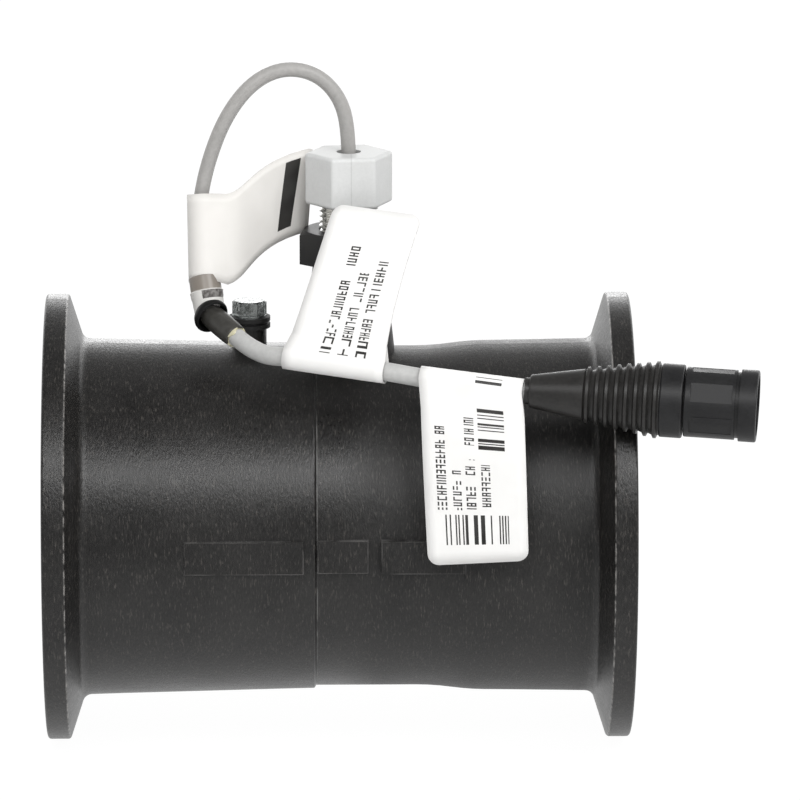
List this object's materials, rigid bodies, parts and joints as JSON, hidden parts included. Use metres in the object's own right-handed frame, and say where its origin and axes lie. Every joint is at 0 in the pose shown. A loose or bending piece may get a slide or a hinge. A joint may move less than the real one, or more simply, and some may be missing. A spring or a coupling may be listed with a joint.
{
  "type": "turbine flow meter",
  "caption": "Flanged black plastic turbine flow meter with a threaded pickup sensor, a spliced cable harness with flag labels and a ribbed round connector.",
  "frame": {"origin": "centre of the bore at the inlet flange's face", "axes": "+X along the flow, from the inlet to the outlet; +Z to the sensor; the labels and the raised pads face -Y"},
  "size_m": [0.1886, 0.1267, 0.1845],
  "materials": {
    "body_black": "satin moulded, slightly mottled",
    "nut_black": "matte moulded",
    "sensor_grey": "satin moulded",
    "sensor_metal": "plated thread",
    "zinc_steel": "zinc plated, slightly worn",
    "collar_black": "matte",
    "hub_plastic": "matte moulded",
    "stud_plastic": "matte moulded",
    "bushing_grey": "satin",
    "rotor_plastic": "satin moulded",
    "magnet_metal": "plated",
    "shaft_steel": "ground",
    "thin_cable_grey": "satin",
    "thick_cable_grey": "satin",
    "sleeve_white": "satin film",
    "shrink_black": "satin",
    "label_white": null,
    "boot_black": "matte",
    "connector_black": "satin moulded",
    "insert_black": "matte",
    "contact_gold": "polished"
  },
  "bodies": {
    "housing": {"meter_body": "body_black", "sensor_barrel": "sensor_metal", "sensor_head": "sensor_grey", "jam_nut": "nut_black", "retaining_screw": "zinc_steel", "screw_seal_collar": "collar_black", "inlet_hub": "hub_plastic", "outlet_hub": "hub_plastic", "hub_stud": "stud_plastic", "stud_lock_nut": "stud_plastic", "inlet_bushing": "bushing_grey", "outlet_bushing": "bushing_grey", "snap_ring": "shaft_steel", "sensor_cable": "thin_cable_grey", "splice_sleeve": "sleeve_white", "heat_shrink": "shrink_black", "harness_cable": "thick_cable_grey", "flag_label_upper": "label_white", "flag_label_middle": "label_white", "flag_label_lower": "label_white", "connector_boot": "boot_black", "connector_shell": "connector_black", "connector_insert": "insert_black", "contact_pins": "contact_gold"},
    "rotor": {"turbine_rotor": "rotor_plastic", "rotor_magnets": "magnet_metal", "rotor_shaft": "shaft_steel"},
    "coupling_ring": {"coupling_ring": "connector_black"}
  },
  "joints": [
    {"name": "rotor_spin", "type": "hinge", "parent": "housing", "child": "rotor", "pos_m": [0.0813, 0, 0], "axis": [1, 0, 0], "continuous": true},
    {"name": "coupling_ring_turn", "type": "hinge", "parent": "housing", "child": "coupling_ring", "pos_m": [0.17866, -0.05631, 0.04333], "axis": [0.9913, -0.1237, -0.0445], "range_deg": [0, 45]}
  ]
}
